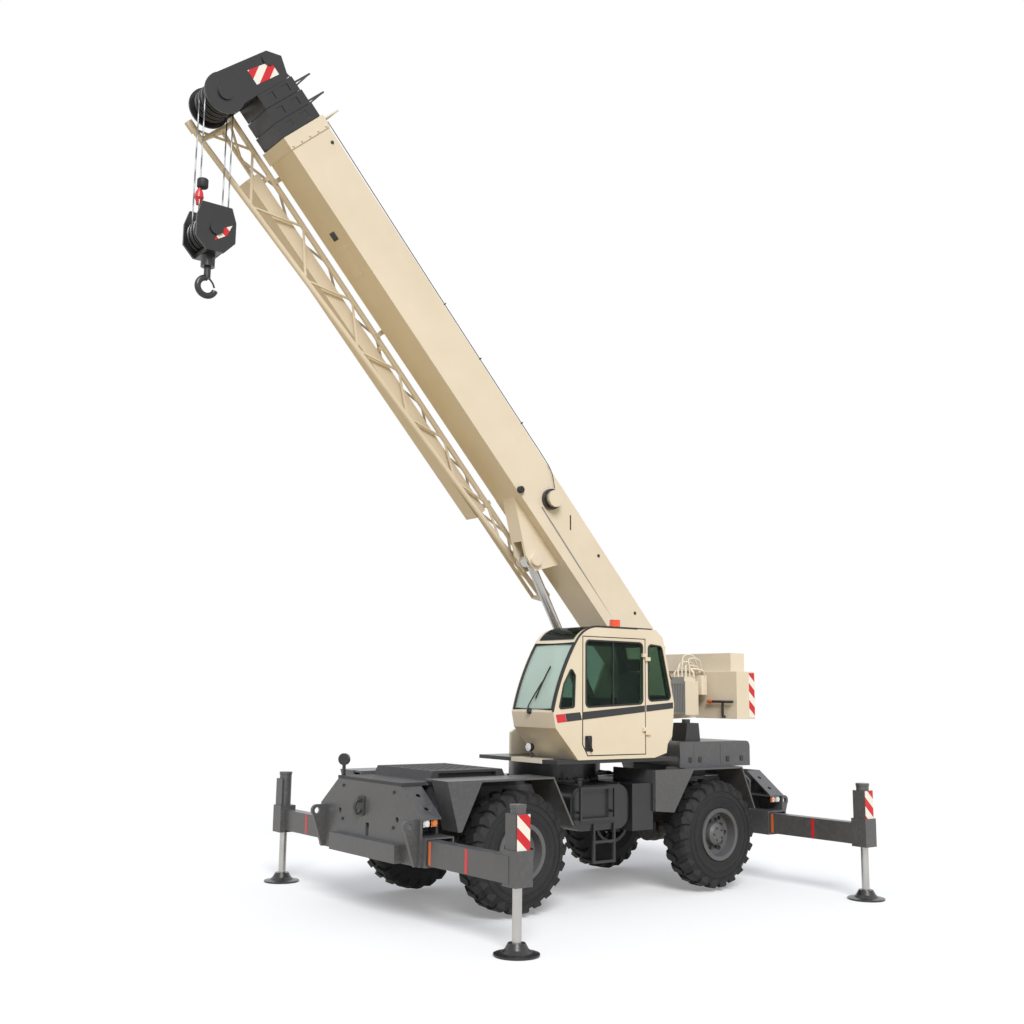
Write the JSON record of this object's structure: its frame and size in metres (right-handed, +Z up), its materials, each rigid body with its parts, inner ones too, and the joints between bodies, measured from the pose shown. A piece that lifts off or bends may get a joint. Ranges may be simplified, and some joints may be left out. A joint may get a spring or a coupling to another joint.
{
  "type": "rough-terrain mobile crane",
  "caption": "Self-propelled two-axle crane on outriggers, with a slewing cab, a telescopic boom, a stowed lattice jib and a hook block.",
  "frame": {"origin": "on the ground, in the middle of the crane's length and width as it stands", "axes": "+X forward along the carrier, +Y to the crane's left, +Z up"},
  "size_m": [9.4522, 6.2, 10.7295],
  "materials": {
    "boom_paint": "cream gloss paint",
    "carrier_paint": "charcoal satin paint",
    "dark_paint": "black satin paint",
    "hard_chrome": "polished",
    "machinery": "painted casting",
    "tyre": "matt",
    "pane": "green tint",
    "lens": "clear orange",
    "cab_trim": "grained",
    "wire_rope": "greased strands"
  },
  "bodies": {
    "carrier": {"chassis": "carrier_paint", "deck": "carrier_paint", "front_box": "carrier_paint", "rear_box": "carrier_paint", "fenders": "carrier_paint", "hood": "carrier_paint", "engine": "machinery", "tank": "dark_paint", "lamps": "lens", "road_mirror": "dark_paint", "front_axle": "machinery", "rear_axle": "machinery", "slew_bearing": "machinery"},
    "upper": {"turntable": "boom_paint", "counterweight": "boom_paint", "winch": "machinery", "cooler": "boom_paint", "cab": "boom_paint", "cab_glass": "pane", "cab_interior": "cab_trim", "beacon": "lens"},
    "cab_door": {"door": "boom_paint", "door_glass": "pane"},
    "lift_outer": {"lift_barrel": "boom_paint"},
    "lift_inner": {"lift_rod": "hard_chrome"},
    "boom": {"boom_base": "boom_paint", "cable_reel": "boom_paint", "jib": "boom_paint"},
    "boom_second": {"boom_mid_1": "dark_paint"},
    "boom_third": {"boom_mid_2": "dark_paint"},
    "boom_head": {"boom_tip": "dark_paint", "head_sheaves": "dark_paint"},
    "falls": {"rope_falls": "wire_rope"},
    "hook_load": {"hook_block": "dark_paint", "hook": "dark_paint"},
    "outrigger_fl": {"beam_fl": "carrier_paint"},
    "jack_leg_fl": {"jack_fl": "hard_chrome"},
    "hub_fl": {"knuckle_fl": "machinery"},
    "wheel_fl": {"rim_fl": "carrier_paint", "tyre_fl": "tyre"},
    "outrigger_fr": {"beam_fr": "carrier_paint"},
    "jack_leg_fr": {"jack_fr": "hard_chrome"},
    "hub_fr": {"knuckle_fr": "machinery"},
    "wheel_fr": {"rim_fr": "carrier_paint", "tyre_fr": "tyre"},
    "outrigger_rl": {"beam_rl": "carrier_paint"},
    "jack_leg_rl": {"jack_rl": "hard_chrome"},
    "hub_rl": {"knuckle_rl": "machinery"},
    "wheel_rl": {"rim_rl": "carrier_paint", "tyre_rl": "tyre"},
    "outrigger_rr": {"beam_rr": "carrier_paint"},
    "jack_leg_rr": {"jack_rr": "hard_chrome"},
    "hub_rr": {"knuckle_rr": "machinery"},
    "wheel_rr": {"rim_rr": "carrier_paint", "tyre_rr": "tyre"}
  },
  "joints": [
    {"name": "slew", "type": "hinge", "parent": "carrier", "child": "upper", "pos_m": [-1.01318, 0, 1.745], "axis": [0, 0, 1], "continuous": true},
    {"name": "door_swing", "type": "hinge", "parent": "upper", "child": "cab_door", "pos_m": [-1.56318, 1.35, 2.645], "axis": [0, 0, 1], "range_deg": [0, 85]},
    {"name": "luff", "type": "hinge", "parent": "upper", "child": "boom", "pos_m": [-2.51518, 0, 3.092], "axis": [0, -1, 0], "range_deg": [-47.2, 28.8]},
    {"name": "lift_swing", "type": "hinge", "parent": "upper", "child": "lift_outer", "pos_m": [-1.99618, 0, 2.095], "axis": [0, -1, 0], "range_deg": [-40.5, 25]},
    {"name": "lift_stroke", "type": "slide", "parent": "lift_outer", "child": "lift_inner", "axis": [0.4955, 0, 0.8686], "range_m": [-0.83, 0.51]},
    {"name": "extend", "type": "slide", "parent": "boom", "child": "boom_second", "axis": [0.6794, 0, 0.7337], "range_m": [0, 6.4]},
    {"name": "extend_third", "type": "slide", "parent": "boom_second", "child": "boom_third", "axis": [0.6794, 0, 0.7337], "range_m": [0, 6.4]},
    {"name": "extend_head", "type": "slide", "parent": "boom_third", "child": "boom_head", "axis": [0.6794, 0, 0.7337], "range_m": [0, 6.4]},
    {"name": "falls_hang", "type": "hinge", "parent": "boom_head", "child": "falls", "pos_m": [4.46618, 0, 9.9836], "axis": [0, -1, 0], "range_deg": [-29.5, 48]},
    {"name": "hoist", "type": "slide", "parent": "falls", "child": "hook_load", "axis": [0, 0, -1], "range_m": [-0.9, 7.3], "deforming": ["rope_falls"]},
    {"name": "beam_fl_slide", "type": "slide", "parent": "carrier", "child": "outrigger_fl", "axis": [0, -1, 0], "range_m": [0, 1.42]},
    {"name": "jack_fl_lift", "type": "slide", "parent": "outrigger_fl", "child": "jack_leg_fl", "axis": [0, 0, 1], "range_m": [-0.06, 0.55]},
    {"name": "steer_fl", "type": "hinge", "parent": "carrier", "child": "hub_fl", "pos_m": [0.56382, 1.0005, 0.7915], "axis": [0, 0, 1], "range_deg": [-25, 25]},
    {"name": "wheel_fl_spin", "type": "hinge", "parent": "hub_fl", "child": "wheel_fl", "pos_m": [0.56382, 1.1355, 0.7915], "axis": [0, 1, 0], "continuous": true},
    {"name": "beam_fr_slide", "type": "slide", "parent": "carrier", "child": "outrigger_fr", "axis": [0, 1, 0], "range_m": [0, 1.42]},
    {"name": "jack_fr_lift", "type": "slide", "parent": "outrigger_fr", "child": "jack_leg_fr", "axis": [0, 0, 1], "range_m": [-0.06, 0.55]},
    {"name": "steer_fr", "type": "hinge", "parent": "carrier", "child": "hub_fr", "pos_m": [0.56382, -1.0005, 0.7915], "axis": [0, 0, 1], "range_deg": [-25, 25]},
    {"name": "wheel_fr_spin", "type": "hinge", "parent": "hub_fr", "child": "wheel_fr", "pos_m": [0.56382, -1.1355, 0.7915], "axis": [0, 1, 0], "continuous": true},
    {"name": "beam_rl_slide", "type": "slide", "parent": "carrier", "child": "outrigger_rl", "axis": [0, -1, 0], "range_m": [0, 1.42]},
    {"name": "jack_rl_lift", "type": "slide", "parent": "outrigger_rl", "child": "jack_leg_rl", "axis": [0, 0, 1], "range_m": [-0.06, 0.55]},
    {"name": "steer_rl", "type": "hinge", "parent": "carrier", "child": "hub_rl", "pos_m": [-2.99018, 1.0005, 0.7915], "axis": [0, 0, 1], "range_deg": [-25, 25]},
    {"name": "wheel_rl_spin", "type": "hinge", "parent": "hub_rl", "child": "wheel_rl", "pos_m": [-2.99018, 1.1355, 0.7915], "axis": [0, 1, 0], "continuous": true},
    {"name": "beam_rr_slide", "type": "slide", "parent": "carrier", "child": "outrigger_rr", "axis": [0, 1, 0], "range_m": [0, 1.42]},
    {"name": "jack_rr_lift", "type": "slide", "parent": "outrigger_rr", "child": "jack_leg_rr", "axis": [0, 0, 1], "range_m": [-0.06, 0.55]},
    {"name": "steer_rr", "type": "hinge", "parent": "carrier", "child": "hub_rr", "pos_m": [-2.99018, -1.0005, 0.7915], "axis": [0, 0, 1], "range_deg": [-25, 25]},
    {"name": "wheel_rr_spin", "type": "hinge", "parent": "hub_rr", "child": "wheel_rr", "pos_m": [-2.99018, -1.1355, 0.7915], "axis": [0, 1, 0], "continuous": true}
  ],
  "couplings": [
    {"joint": "lift_swing", "follows": "luff", "ratio": 0.84},
    {"joint": "lift_stroke", "follows": "luff", "m_per_rad": 0.992},
    {"joint": "falls_hang", "follows": "luff", "ratio": -1},
    {"joint": "extend_third", "follows": "extend", "ratio": 1},
    {"joint": "extend_head", "follows": "extend", "ratio": 1},
    {"joint": "steer_fr", "follows": "steer_fl", "ratio": 1},
    {"joint": "steer_rr", "follows": "steer_rl", "ratio": 1}
  ]
}
